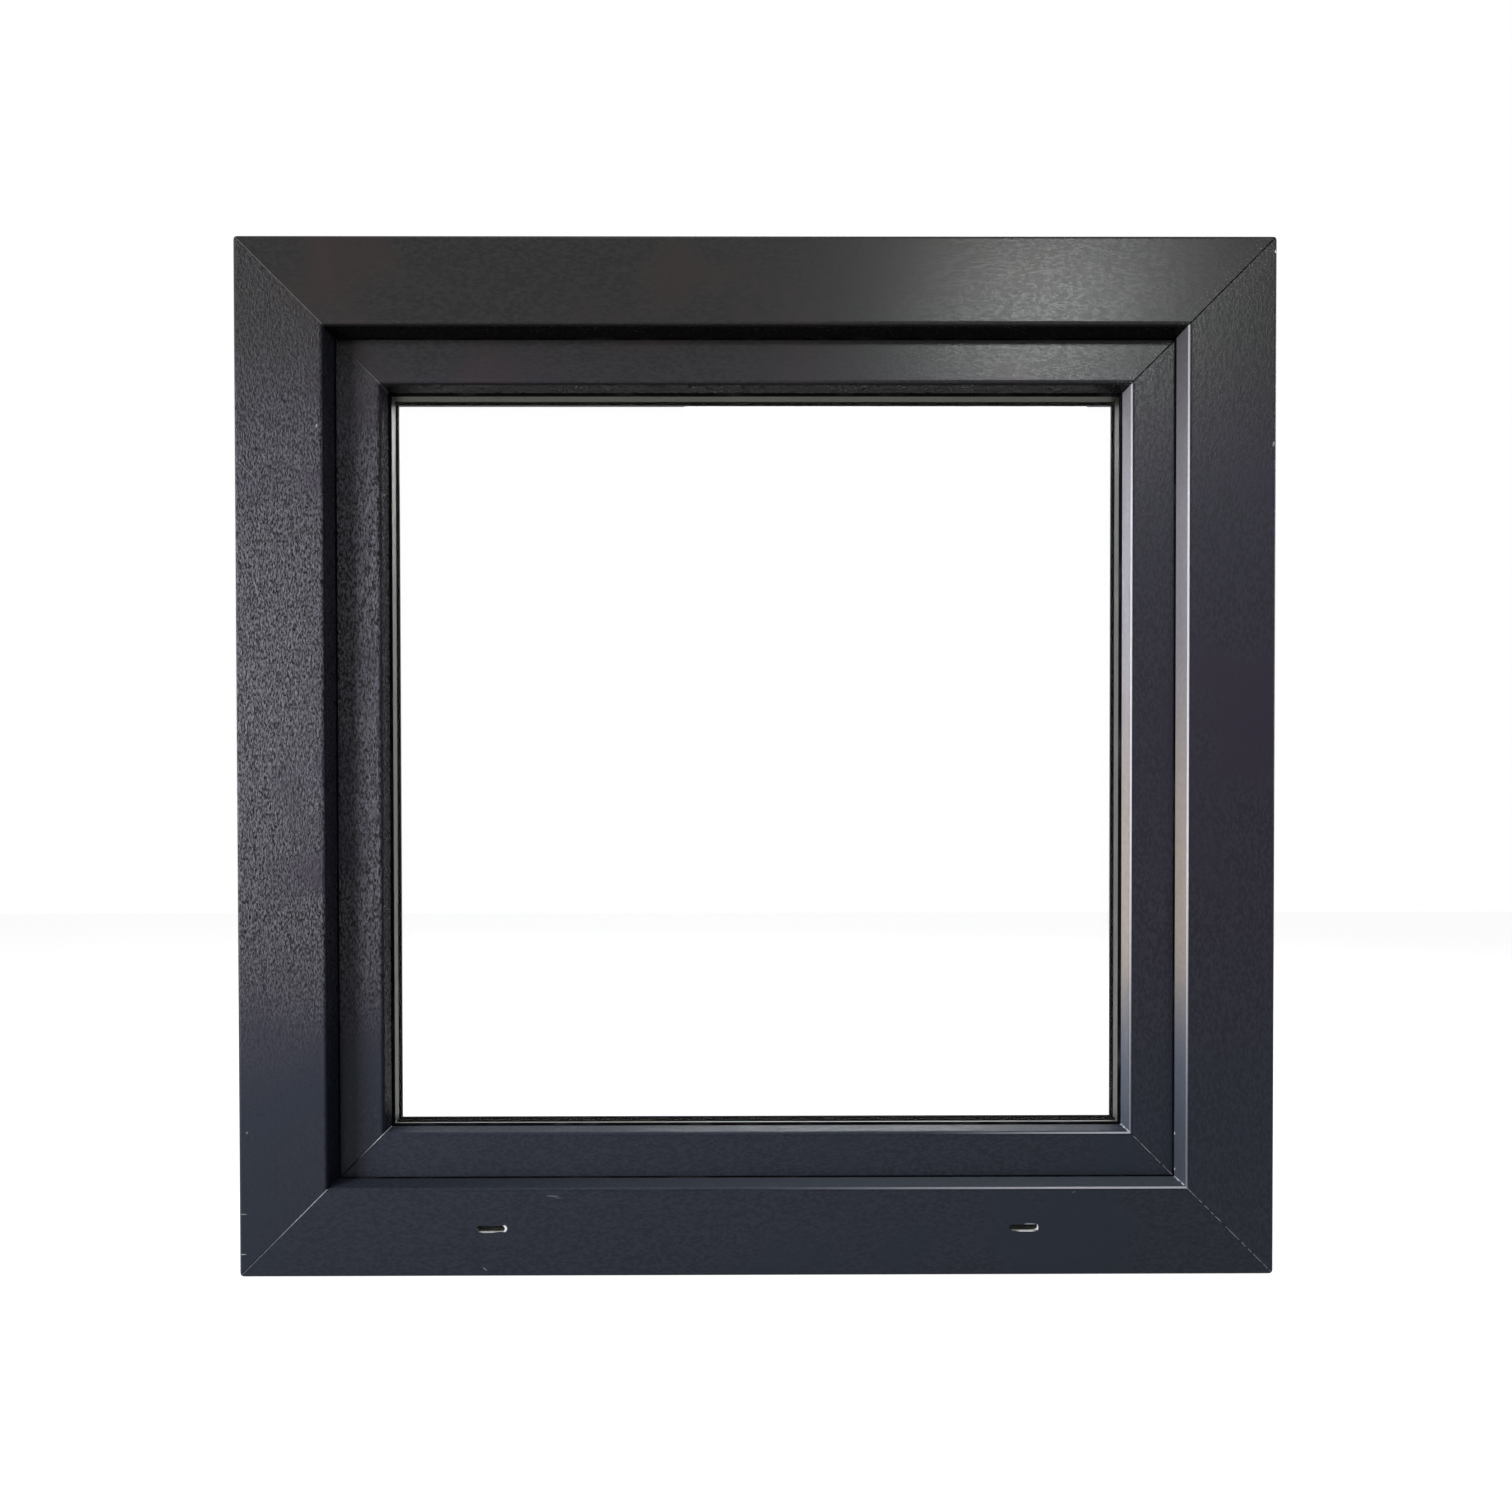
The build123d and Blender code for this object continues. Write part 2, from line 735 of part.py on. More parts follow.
def bottom_hinge():
    """A bearing on the frame, a band on the sash above it, their pin and their two caps."""
    bearing_start = overlap_edge + bearing_to_overlap_end
    band_start = bearing_start + bearing_height
    band_end = band_start + band_height
    plate_end = hinge_cap_play - hinge_standoff
    inner = knuckle_radius + hinge_cap_play
    outer = inner + hinge_cap_wall
    knuckle = Circle(knuckle_radius) - Circle(pin_radius + pin_play)

    arm = rectangle_from(-bearing_arm / 2, -hinge_standoff, bearing_arm / 2, -pin_radius - band_leaf)
    bearing = upright(bearing_start, bearing_height, knuckle, arm)

    leaf_start = overlap_front + nose_radius - hinge_depth
    leaf_middle = pin_radius + band_leaf
    band = upright(
        band_start,
        band_height,
        knuckle,
        rectangle_from(leaf_middle, -band_leaf / 2, hinge_to_overlap, band_leaf / 2),
        rectangle_from(
            hinge_to_overlap - band_leaf, leaf_start, hinge_to_overlap, leaf_start + band_leaf_depth
        ),
    )

    pin = upright(bearing_start, band_end - bearing_start, Circle(pin_radius))
    pin += upright(band_end, pin_head_height, Circle(pin_head_radius))

    shell = (Circle(outer), rectangle_from(-outer, plate_end, outer, 0))
    room = (Circle(inner), rectangle_from(-inner, plate_end, inner, 0))
    cap_foot = bearing_start - hinge_cap_play - hinge_cap_wall
    bearing_cap = upright(cap_foot, bearing_start + bearing_height - cap_foot, *shell)
    bearing_cap = chamfer(bearing_cap.faces().sort_by(Axis.Z)[0].edges(), hinge_cap_chamfer)
    bearing_cap -= upright(cap_foot + hinge_cap_wall, bearing_height + hinge_cap_play, *room)

    cap_room = band_height + pin_head_height + hinge_cap_play
    open_side = rectangle_from(inner / 2, -outer, outer, outer)
    band_cap = upright(band_start, cap_room + hinge_cap_wall, Circle(outer) - open_side)
    band_cap = chamfer(band_cap.faces().sort_by(Axis.Z)[-1].edges(), hinge_cap_chamfer)
    band_cap -= upright(band_start, cap_room, Circle(inner))
    return {
        "hinge_bearing": bearing,
        "hinge_band": band,
        "hinge_pin": pin,
        "hinge_bearing_cap": bearing_cap,
        "hinge_band_cap": band_cap,
    }


def hinges():
    """The lower hinge, and the upper one as its mirror image with the bearing on top."""
    middle = Plane.XY.offset(window_height / 2)
    pieces = {}
    for name, piece in bottom_hinge().items():
        pieces["bottom_" + name] = piece
        pieces["top_" + name] = mirror(piece, about=middle)
    return pieces


def window():
    """Every piece by its name."""
    pieces = frame_bars() | sash_bars() | bead_bars() | seals()
    pieces["pane_outside"] = pane(glass_front)
    pieces["pane_inside"] = pane(cavity_back)
    pieces["spacer_bar"] = spacer_bar()
    pieces["edge_seal"] = edge_seal()
    pieces["glazing_packers"] = glazing_packers()
    pieces["handle_rosette"] = handle_rosette()
    pieces["handle_lever"] = handle_lever()
    return pieces | hinges()


os.makedirs("parts", exist_ok=True)
for name, shape in window().items():
    export_step(shape, f"parts/{name}.step")
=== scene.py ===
from math import radians

import bpy
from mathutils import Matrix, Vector


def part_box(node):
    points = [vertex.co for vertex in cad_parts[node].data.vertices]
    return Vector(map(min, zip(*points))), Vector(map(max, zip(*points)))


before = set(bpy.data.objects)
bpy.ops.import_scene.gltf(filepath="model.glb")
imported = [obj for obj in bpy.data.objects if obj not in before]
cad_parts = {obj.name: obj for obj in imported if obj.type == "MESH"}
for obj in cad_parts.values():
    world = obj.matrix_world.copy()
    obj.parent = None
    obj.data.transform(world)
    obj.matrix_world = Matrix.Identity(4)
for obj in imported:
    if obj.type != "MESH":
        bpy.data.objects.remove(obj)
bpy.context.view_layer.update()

# Looks of a tilt and turn window, seen from outdoors: embossed anthracite foil on white plastic,
# black seals, clear double glazing, and on the room side a painted handle and two capped hinges.
# Lengths are in metres. X runs along the sill, Y from outdoors into the room, Z up.

# Sizes of the window, from the frame
sill_low, sill_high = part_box("frame_sill")
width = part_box("frame_jamb_right")[1].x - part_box("frame_jamb_left")[0].x
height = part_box("frame_head")[1].z
outdoor_face = sill_low.y
room_face = sill_high.y
sash_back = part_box("sash_bottom_rail")[1].y
bead_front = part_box("glazing_bead_bottom")[0].y
spacer_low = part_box("spacer_bar")[0]

# Outdoor face of each bar: where it ends, inward from the frame's outer edge, its depth, and the depth that
# the slope behind it reaches
FACES = {
    "frame": (0.0680, 0.0, 0.0163),
    "sash": (0.1058, 0.0200, 0.0318),
}

# Foil
grain_width = 0.0018        # of one embossed pore, across the member
grain_length = 0.0036       # along the member
figure_width = 0.006        # of the wider grain figure
figure_length = 0.070
cloud_size = 0.160          # of slow changes of tone
pore_levels = (0.38, 0.62)  # of the noise, at the bottom and the top of a pore
cloud_levels = (0.50, 0.68)
figure_share = 0.6          # height of the grain figure, where a pore's is 1
foil_shine = 0.12           # specular level
EMBOSSED = {"head": 0.000012, "left": 0.00040, "right": 0.00004, "sill": 0.00003}   # height of the embossing
# Roughness between the pores and in them: of most foil, and of the bars that differ
plain_sheen = (0.38, 0.28)
FOIL_SHEEN = {
    ("head", "frame"): (0.31, 0.27),
    ("head", "sash"): (0.31, 0.27),
    ("left", "frame"): (0.50, 0.27),
    ("left", "sash"): (0.30, 0.24),
}
# Painted sheen on the outdoor side of the left members: their grain drawn in pale pores where the light from
# the left falls
painted_sheen_pores = ((11, 11, 13), (83, 81, 89))    # bottom and top
painted_sheen_width = 0.0011            # of one pore, across the member
painted_sheen_length = 0.0028
painted_sheen_levels = (0.40, 0.60)
painted_sheen_foot = (0.13, 0.30)       # heights
painted_sheen_head = (0.58, 0.74)
painted_sheen_head_share = 0.22         # what is left of it above
painted_sheen_back = (0.050, 0.040)     # depths, from the room side to outdoors
relief_outside_sheen = 0.12             # share of the embossing outside the painted sheen
# Where foil covers the white plastic core, and the core's own look
foil_wrap = 0.006               # how far the foil runs round the outer edge
foil_skin = 0.0008              # reach of a foiled face before and behind it
core_white = (218, 219, 218)
core_soiled = (198, 198, 195)
soil_size = 0.012

# Foil tones from the sill up to the head, their bluer tint towards the sill painted light: dark of the grain,
# light of the grain, patchy third tone
TONES = (
    ((40, 42, 51), (46, 50, 59), (41, 46, 55)),
    ((41, 40, 48), (51, 50, 59), (48, 44, 55)),
    ((38, 38, 38), (46, 46, 46), (50, 44, 44)),
)
low_tone_top = (0.10, 0.28)     # heights over which the first tone gives way to the second
high_tone_foot = (0.60, 0.76)   # and the second to the third

# Slopes towards the glass, by member and bar, with painted shade on the head and left and painted light on
# the right and sill: colour and share of it over the foil's own tone
SLOPES = {
    ("head", "frame"): ((13, 13, 13), 0.90),
    ("head", "sash"): ((14, 14, 13), 0.80),
    ("left", "frame"): ((20, 24, 33), 0.75),
    ("left", "sash"): ((31, 33, 37), 0.55),
    ("right", "frame"): ((139, 136, 142), 0.70),
    ("right", "sash"): ((162, 158, 167), 0.68),
    ("sill", "frame"): ((95, 101, 110), 0.44),
    ("sill", "sash"): ((64, 68, 79), 0.46),
}
# Painted highlights on the front edges of those slopes: share of the pale colour
EDGE_HIGHLIGHTS = {"head": 0.0, "left": 0.0, "right": 0.85, "sill": 0.70}
edge_painted_highlight = (199, 199, 207)
slope_painted_warm = (166, 156, 148)  # of the painted light on the right slopes a third of the way up
slope_painted_cool = (115, 122, 137)    # and of their foot
fleck_size = 0.004
fleck_swing = (0.8, 1.2)        # of the shares above
# Where all that comes and goes: the two heights of each change, on the sill the two places across
painted_light_middle = 0.42          # height where the right slopes are palest
painted_light_fade = (0.34, 0.14)    # distances from there
painted_light_least = 0.32           # share left far from there
cool_top = (0.15, 0.26)
sallow_top = (0.32, 0.52)
painted_highlight_foot = (0.10, 0.36)
painted_highlight_foot_share = 0.20          # of the painted highlight on the right edges, below
painted_highlight_head = (0.58, 0.72)
painted_highlight_head_share = 0.55          # and above
sill_painted_light_start = (-0.34, 0.22)
SILL_HIGHLIGHT_START = {"frame": (-0.02, 0.30), "sash": (0.12, 0.31)}
# Spans inward from the end of a face, and backward from its depth, on its rounded front edge
slope_start = (-0.0008, -0.0002)
edge_inward = (-0.0011, 0.0001)
edge_backward = (0.0002, 0.0016)
rounding_inward = (-0.0030, -0.0020)
rounding_backward = (-0.0008, 0.0024)
rounding_roughness = 0.85

# Seams of the welded mitres: touched up lines in front, their paleness partly painted light, painted
# highlights on the lower right slopes, and painted glints at the upper right
seam_half_width = 0.0006
seam_upper_left = (108, 108, 110)
seam_upper_right = (13, 13, 14)
SEAM_LOWER_LEFT = {
    "frame": ((124, 128, 135), (204, 204, 210)),
    "sash": ((49, 51, 60), (217, 217, 221)),
}
SEAM_PALER = {"frame": (0.386, 0.345), "sash": (0.318, 0.296)}  # distances of that change from the middle
SEAM_LOWER_RIGHT = {"frame": (84, 89, 95), "sash": (102, 106, 113)}
break_size = 0.003              # of the breaks in the seam lines and the painted slope highlights
break_levels = (0.42, 0.56)
least_kept = 0.75               # of the line in its breaks at the lower left
slope_seam_highlight = (175, 177, 184)
slope_seam_highlight_reach = (0.0013, 0.0004)
painted_glint_tone = (93, 95, 94)
speck_size = 0.0014
speck_levels = (0.58, 0.70)
speck_reach = (0.022, 0.004)

# Marks on the frame: member, place across, depth and up, length, breadth in mm, turn in degrees, grey level
MARKS = (
    ("sill", -158.0, 0.0, 62.4, 12.0, 1.3, 2.0, 89),
    ("sill", -154.0, 0.0, 61.0, 7.0, 0.9, 12.0, 80),
    ("sill", -210.5, 0.0, 6.0, 5.0, 1.4, 35.0, 106),
    ("sill", 245.0, 0.0, 64.5, 3.5, 1.6, -20.0, 77),
    ("sill", -195.4, 0.0, 37.2, 5.0, 6.4, 0.0, 250),
    ("sill", -208.0, 0.0, 34.4, 15.0, 1.0, 0.0, 190),
    ("sill", 216.6, 0.0, 37.0, 2.2, 5.6, 0.0, 250),
    ("sill", 208.0, 0.0, 34.3, 18.0, 1.2, 0.0, 239),
    ("sill", 211.0, 0.0, 39.8, 11.0, 0.9, 0.0, 166),
    ("left", -396.5, 0.0, 48.9, 7.0, 0.9, 0.0, 131),
    ("left", -396.8, 0.0, 17.8, 6.0, 0.9, 0.0, 155),
    ("left", -393.4, 0.0, 112.0, 2.0, 2.6, 30.0, 106),
    ("left", -336.6, 0.0, 655.0, 1.4, 3.0, 0.0, 142),
    ("right", 397.6, 0.0, 641.0, 2.0, 5.0, 12.0, 131),
    ("right", 398.5, 0.0, 788.0, 1.6, 3.0, 0.0, 210),
    ("right", 327.9, 15.9, 106.1, 2.0, 3.2, 0.0, 217),
    ("right", 327.9, 15.6, 78.0, 2.4, 2.8, 0.0, 177),
)
mark_reach = 0.002              # how deep a mark goes

# Spacer: depth of its bare metal edge, at the sides and top and on the bottom bar, and where its top turns
# darker as painted shade
rim_width = 0.0135
bottom_rim_width = 0.0052
bottom_bar = (0.0072, 0.0090)   # heights above its foot where the one gives way to the other
shaded_rim_from = (0.672, 0.690)    # heights

glass_ior = 1.15                # low, so that the white all round doesn't veil what is behind the glass

MEMBERS = {
    "head": ("frame_head", "sash_top_rail", "glazing_bead_top"),
    "sill": ("frame_sill", "sash_bottom_rail", "glazing_bead_bottom"),
    "left": ("frame_jamb_left", "sash_stile_left", "glazing_bead_left"),
    "right": ("frame_jamb_right", "sash_stile_right", "glazing_bead_right"),
}


def colour(red, green, blue):
    """A colour as it looks on screen, 0 to 255, in the linear values that sockets take."""
    return (*((level / 255) ** 2.2 for level in (red, green, blue)), 1.0)


class Paint:
    """The node tree of one material, with short calls for the nodes used here."""

    def __init__(self, name):
        self.material = bpy.data.materials.new(name)
        self.material.use_nodes = True
        self.tree = self.material.node_tree
        self.tree.nodes.clear()
        self.place = self.add("ShaderNodeTexCoord").outputs["Object"]
        self.x, self.y, self.z = self.add("ShaderNodeSeparateXYZ", self.place).outputs

    def feed(self, socket, value):
        if isinstance(value, bpy.types.NodeSocket):
            self.tree.links.new(value, socket)
        elif value is not None:
            socket.default_value = value

    def add(self, kind, *values, **settings):
        node = self.tree.nodes.new(kind)
        for setting, value in settings.items():
            setattr(node, setting, value)
        for socket, value in zip(node.inputs, values):
            self.feed(socket, value)
        return node

    def math(self, operation, *values):
        return self.add("ShaderNodeMath", *values, operation=operation).outputs[0]

    def vector(self, operation, *values):
        return self.add("ShaderNodeVectorMath", *values, operation=operation)

    def ramp(self, value, low, high):
        """0 at low, 1 at high, with soft ends."""
        node = self.add("ShaderNodeMapRange", value, interpolation_type="SMOOTHSTEP")
        node.inputs["From Min"].default_value = low
        node.inputs["From Max"].default_value = high
        return node.outputs[0]

    def noise(self, size, detail=2.0, roughness=0.5):
        """Noise whose lumps have the given size: one for all ways, or one each along X, Y and Z."""
        if isinstance(size, float):
            size = (size,) * 3
        scaled = self.vector("DIVIDE", self.place, size).outputs[0]
        node = self.add("ShaderNodeTexNoise", scaled)
        node.inputs["Scale"].default_value = 1.0
        node.inputs["Detail"].default_value = detail
        node.inputs["Roughness"].default_value = roughness
        return node.outputs["Fac"]

    def mix(self, factor, first, second):
        node = self.add("ShaderNodeMix", data_type="RGBA")
        for name, value in (("Factor_Float", factor), ("A_Color", first), ("B_Color", second)):
            socket = next(s for s in node.inputs if s.identifier == name)
            self.feed(socket, value)
        return next(s for s in node.outputs if s.identifier == "Result_Color")

    def blend(self, factor, first, second):
        """A number that goes from first to second."""
        node = self.add("ShaderNodeMapRange", factor, 0.0, 1.0, first, second)
        return node.outputs[0]

    def bump(self, height, distance, strength=1.0):
        node = self.add("ShaderNodeBump")
        node.inputs["Distance"].default_value = distance
        self.feed(node.inputs["Strength"], strength)
        self.feed(node.inputs["Height"], height)
        return node.outputs["Normal"]

    def principled(self, sockets):
        shader = self.add("ShaderNodeBsdfPrincipled")
        for name, value in sockets.items():
            self.feed(shader.inputs[name], value)
        return shader.outputs[0]

    def finished(self, shader):
        """The material, with this shader as its surface."""
        self.add("ShaderNodeOutputMaterial", shader)
        return self.material

    def surface(self, sockets):
        """The material, with a Principled shader that has these sockets."""
        return self.finished(self.principled(sockets))


def dress(node, material):
    """Gives every slot of a CAD node the same material."""
    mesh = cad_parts[node].data
    for slot in range(max(1, len(mesh.materials))):
        if slot < len(mesh.materials):
            mesh.materials[slot] = material
        else:
            mesh.materials.append(material)


def section_place(paint, side):
    """Distance inward from the outer edge of the frame, and depth from its outdoor face."""
    inward = {
        "left": ("ADD", paint.x, width / 2),
        "right": ("SUBTRACT", width / 2, paint.x),
        "sill": ("ADD", paint.z, 0.0),
        "head": ("SUBTRACT", height, paint.z),
    }[side]
    return paint.math(*inward), paint.math("SUBTRACT", paint.y, outdoor_face)


def within(paint, value, low, high):
    """1 from low to high, 0 elsewhere."""
    above = paint.math("GREATER_THAN", value, low)
    below = paint.math("LESS_THAN", value, high)
    return paint.math("MULTIPLY", above, below)


def around(place, span):
    """The two ends of a span that is given from a place."""
    return place + span[0], place + span[1]


def foiled_areas(kind):
    """Where foil covers a section, as (inward from, to, depth from, to)."""
    depth = room_face - outdoor_face
    skin = foil_skin
    if kind == "frame":
        leg_face = 0.060
        leg_back = FACES["frame"][2]
        rebate_edge = 0.042
        return (
            (-skin, width, -skin, skin),
            (-skin, foil_wrap / 2, -skin, foil_wrap),
            (leg_face, width, -skin, leg_back),
            (-skin, width, depth - skin, depth + skin),
            (-skin, foil_wrap / 2, depth - foil_wrap, depth + skin),
            (rebate_edge, width, depth - foil_wrap, depth + skin),
        )
    if kind == "sash":
        front, leg_back = FACES["sash"][1:]
        leg_face = 0.100
        overlap_front = 0.0733
        overlap_end = 0.041
        inner_edge = 0.088
        back = sash_back - outdoor_face
        return (
            (-skin, width, front - skin, front + skin),
            (leg_face, width, front - skin, leg_back),
            (-skin, overlap_end, overlap_front, back + skin),
            (-skin, width, back - skin, back + skin),
            (inner_edge, width, back - foil_wrap, back + skin),
        )
    front = bead_front - outdoor_face
    groove_side = 0.0903
    return ((groove_side, width, front + skin, width),)


def toned(paint, which):
    """One of the three foil tones, as it goes from the sill up to the head, its bluer tint below painted
    light.
    """
    low, middle_tone, high = (colour(*tones[which]) for tones in TONES)
    lower = paint.mix(paint.ramp(paint.z, *low_tone_top), low, middle_tone)
    return paint.mix(paint.ramp(paint.z, *high_tone_foot), lower, high)


def painted_light_spread(paint, side, kind):
    """How fully the painted light and shade lie on the slopes of a member, and the painted highlights on
    their front edges, 0 to 1.
    """
    if side == "right":
        from_middle = paint.math("ABSOLUTE", paint.math("SUBTRACT", paint.z, painted_light_middle))
        slope = paint.blend(paint.ramp(from_middle, *painted_light_fade), painted_light_least, 1.0)
        below_head = paint.blend(paint.ramp(paint.z, *painted_highlight_head), 1.0, painted_highlight_head_share)
        above_foot = paint.blend(paint.ramp(paint.z, *painted_highlight_foot), painted_highlight_foot_share, 1.0)
        return slope, paint.math("MULTIPLY", above_foot, below_head)
    if side == "sill":
        return paint.ramp(paint.x, *sill_painted_light_start), paint.ramp(paint.x, *SILL_HIGHLIGHT_START[kind])
    return 1.0, 1.0


def painted_slope_light(paint, tone, side, kind, inward, depth):
    """Slopes towards the glass with painted light on the right and sill and painted shade on the head and
    left, and painted highlights on their front edges; also where the edges turn.
    """
    if kind == "bead":
        return tone, 0.0
    face_end, face_depth, leg_back = FACES[kind]
    slope_tone, slope_share = SLOPES[side, kind]
    slope_tone = colour(*slope_tone)
    if side == "right":
        foot = paint.mix(paint.ramp(paint.z, *cool_top), colour(*slope_painted_cool), colour(*slope_painted_warm))
        slope_tone = paint.mix(paint.ramp(paint.z, *sallow_top), foot, slope_tone)
    painted_reach, edge_painted_reach = painted_light_spread(paint, side, kind)
    flecked = paint.blend(paint.noise(fleck_size, 4.0), *(slope_share * part for part in fleck_swing))
    share = paint.math("MULTIPLY", flecked, painted_reach)
    past_edge = paint.ramp(inward, *around(face_end, slope_start))
    on_slope = paint.math("MULTIPLY", past_edge, within(paint, depth, face_depth, leg_back))
    # Painted light and shade on the slopes
    tone = paint.mix(paint.math("MULTIPLY", on_slope, share), tone, slope_tone)
    near_edge = within(paint, inward, *around(face_end, edge_inward))
    turning = within(paint, depth, *around(face_depth, edge_backward))
    edge = paint.math("MULTIPLY", near_edge, turning)
    # Painted highlight on the front edges of the right and sill slopes
    painted_highlight = paint.math("MULTIPLY", paint.math("MULTIPLY", edge, edge_painted_reach), EDGE_HIGHLIGHTS[side])
    from_face = paint.ramp(inward, *around(face_end, rounding_inward))
    rounding = paint.math("MULTIPLY", from_face, within(paint, depth, *around(face_depth, rounding_backward)))
    return paint.mix(painted_highlight, tone, colour(*edge_painted_highlight)), rounding


def seamed(paint, tone, kind, depth):
    """The lines on the mitres, pale at the lower left and dark at the upper right, the paleness partly
    painted light, with painted highlights on the lower right slopes and painted glints at the upper right.
    """
    if kind == "bead":
        return tone
    _, front, slope_end = FACES[kind]
    back = {"frame": foil_skin, "sash": slope_end}[kind]
    in_front = within(paint, depth, front - foil_skin, back)
    sideways = paint.math("ABSOLUTE", paint.x)
    upwards = paint.math("ABSOLUTE", paint.math("SUBTRACT", paint.z, height / 2))
    away = paint.math("ABSOLUTE", paint.math("SUBTRACT", sideways, upwards))
    line = paint.math("MULTIPLY", paint.ramp(away, seam_half_width, seam_half_width / 3), in_front)
    above = paint.math("GREATER_THAN", paint.z, height / 2)
    on_right = paint.math("GREATER_THAN", paint.x, 0.0)
    breaks = paint.ramp(paint.noise(break_size, 3.0), *break_levels)
    kept = paint.math("MAXIMUM", breaks, paint.blend(on_right, least_kept, 0.0))
    kept = paint.math("MAXIMUM", kept, above)
    outer, inner = (colour(*end) for end in SEAM_LOWER_LEFT[kind])
    lower_left = paint.mix(paint.ramp(sideways, *SEAM_PALER[kind]), outer, inner)
    left = paint.mix(above, lower_left, colour(*seam_upper_left))
    right = paint.mix(above, colour(*SEAM_LOWER_RIGHT[kind]), colour(*seam_upper_right))
    tone = paint.mix(paint.math("MULTIPLY", line, kept), tone, paint.mix(on_right, left, right))
    on_slope = within(paint, depth, front + foil_skin / 2, slope_end)
    # Painted highlights along the seams of the lower right slopes
    slope_line = paint.math("MULTIPLY", paint.ramp(away, *slope_seam_highlight_reach), on_slope)
    low_on_right = paint.math("MULTIPLY", on_right, paint.math("SUBTRACT", 1.0, above))
    painted_highlight = paint.math("MULTIPLY", paint.math("MULTIPLY", slope_line, breaks), low_on_right)
    tone = paint.mix(painted_highlight, tone, colour(*slope_seam_highlight))
    # Painted glints beside the upper right seams
    specks = paint.ramp(paint.noise(speck_size, 2.0), *speck_levels)
    near_seam = paint.math("MULTIPLY", paint.ramp(away, *speck_reach), specks)
    at_upper_right = paint.math("MULTIPLY", paint.math("MULTIPLY", above, on_right), in_front)
    return paint.mix(paint.math("MULTIPLY", near_seam, at_upper_right), tone, colour(*painted_glint_tone))


def marked(paint, tone, side, kind):
    """Small nicks, specks and scratches on the frame, and the burrs of its drain slots."""
    for member, across, back, up, length, breadth, turn, level in MARKS:
        if (member, kind) != (side, "frame"):
            continue
        place = paint.add("ShaderNodeMapping", paint.place, vector_type="TEXTURE")
        place.inputs["Location"].default_value = (across / 1000, outdoor_face + back / 1000, up / 1000)
        place.inputs["Rotation"].default_value = (0.0, radians(turn), 0.0)
        place.inputs["Scale"].default_value = (length / 2000, mark_reach, breadth / 2000)
        away = paint.vector("LENGTH", place.outputs[0]).outputs["Value"]
        tone = paint.mix(paint.ramp(away, 1.0, 0.5), tone, colour(level, level, level + 4))
    return tone


def foil(side, kind):
    """Grained foil where the section shows, and the white plastic core elsewhere."""
    paint = Paint(f"foil_{kind}_{side}")
    inward, depth = section_place(paint, side)
    along = 0 if side in ("head", "sill") else 2

    def stretched(across, length):
        return tuple(length if axis == along else across for axis in range(3))

    pores = paint.ramp(paint.noise(stretched(grain_width, grain_length), 2.5, 0.6), *pore_levels)
    figure = paint.noise(stretched(figure_width, figure_length), 3.0)
    clouds = paint.noise(cloud_size, 3.0, 0.6)
    relief = paint.math("MULTIPLY_ADD", figure, figure_share, pores)

    covered = None
    for inward_low, inward_high, depth_low, depth_high in foiled_areas(kind):
        area = paint.math(
            "MULTIPLY",
            within(paint, inward, inward_low, inward_high),
            within(paint, depth, depth_low, depth_high),
        )
        covered = area if covered is None else paint.math("MAXIMUM", covered, area)

    tone = paint.mix(pores, toned(paint, 0), toned(paint, 1))
    embossed = covered
    # Painted sheen on the left members: pale pores between the foot and the head, where the light from the
    # left falls
    if side == "left":
        above_foot = paint.ramp(paint.z, *painted_sheen_foot)
        outdoors = paint.ramp(depth, *painted_sheen_back)
        raised = paint.blend(paint.math("MULTIPLY", outdoors, above_foot), relief_outside_sheen, 1.0)
        embossed = paint.math("MULTIPLY", covered, raised)
        dashes = paint.noise(stretched(painted_sheen_width, painted_sheen_length), 3.0, 0.6)
        painted_sheen = paint.mix(paint.ramp(dashes, *painted_sheen_levels), *(colour(*end) for end in painted_sheen_pores))
        below_head = paint.blend(paint.ramp(paint.z, *painted_sheen_head), 1.0, painted_sheen_head_share)
        share = paint.math("MULTIPLY", paint.math("MULTIPLY", above_foot, below_head), outdoors)
        tone = paint.mix(share, tone, painted_sheen)
    tone = paint.mix(paint.ramp(clouds, *cloud_levels), tone, toned(paint, 2))
    tone, rounding = painted_slope_light(paint, tone, side, kind, inward, depth)
    tone = seamed(paint, tone, kind, depth)
    tone = marked(paint, tone, side, kind)

    sheen = paint.blend(pores, *FOIL_SHEEN.get((side, kind), plain_sheen))
    core = paint.mix(paint.noise(soil_size, 4.0), colour(*core_white), colour(*core_soiled))
    return paint.surface({
        "Base Color": paint.mix(covered, core, tone),
        "Roughness": paint.blend(rounding, sheen, rounding_roughness),
        "Specular IOR Level": foil_shine,
        "Normal": paint.bump(relief, EMBOSSED[side], embossed),
    })


def rubber():
    paint = Paint("seal_rubber")
    skin = paint.noise(0.0012, 3.0)
    chalk = paint.ramp(paint.noise(0.030, 4.0), 0.50, 0.80)
    return paint.surface({
        "Base Color": paint.mix(chalk, colour(20, 20, 22), colour(44, 44, 46)),
        "Roughness": paint.blend(skin, 0.60, 0.85),
        "Specular IOR Level": 0.0,
        "Normal": paint.bump(skin, 0.00006),
    })


def clear_glass():
    """Float glass that lets lamps through, with a faint film of dust."""
    paint = Paint("float_glass")
    film = paint.noise(0.090, 4.0)
    glass = paint.principled({
        "Base Color": (0.998, 1.0, 0.999, 1.0),
        "Roughness": paint.blend(film, 0.0, 0.012),
        "Transmission Weight": 1.0,
        "IOR": glass_ior,
    })
    see_through = paint.add("ShaderNodeBsdfTransparent", (0.96, 0.98, 0.97, 1.0))
    from_lamp = paint.add("ShaderNodeLightPath").outputs["Is Shadow Ray"]
    both = paint.add("ShaderNodeMixShader", from_lamp, glass, see_through.outputs[0])
    return paint.finished(both.outputs[0])


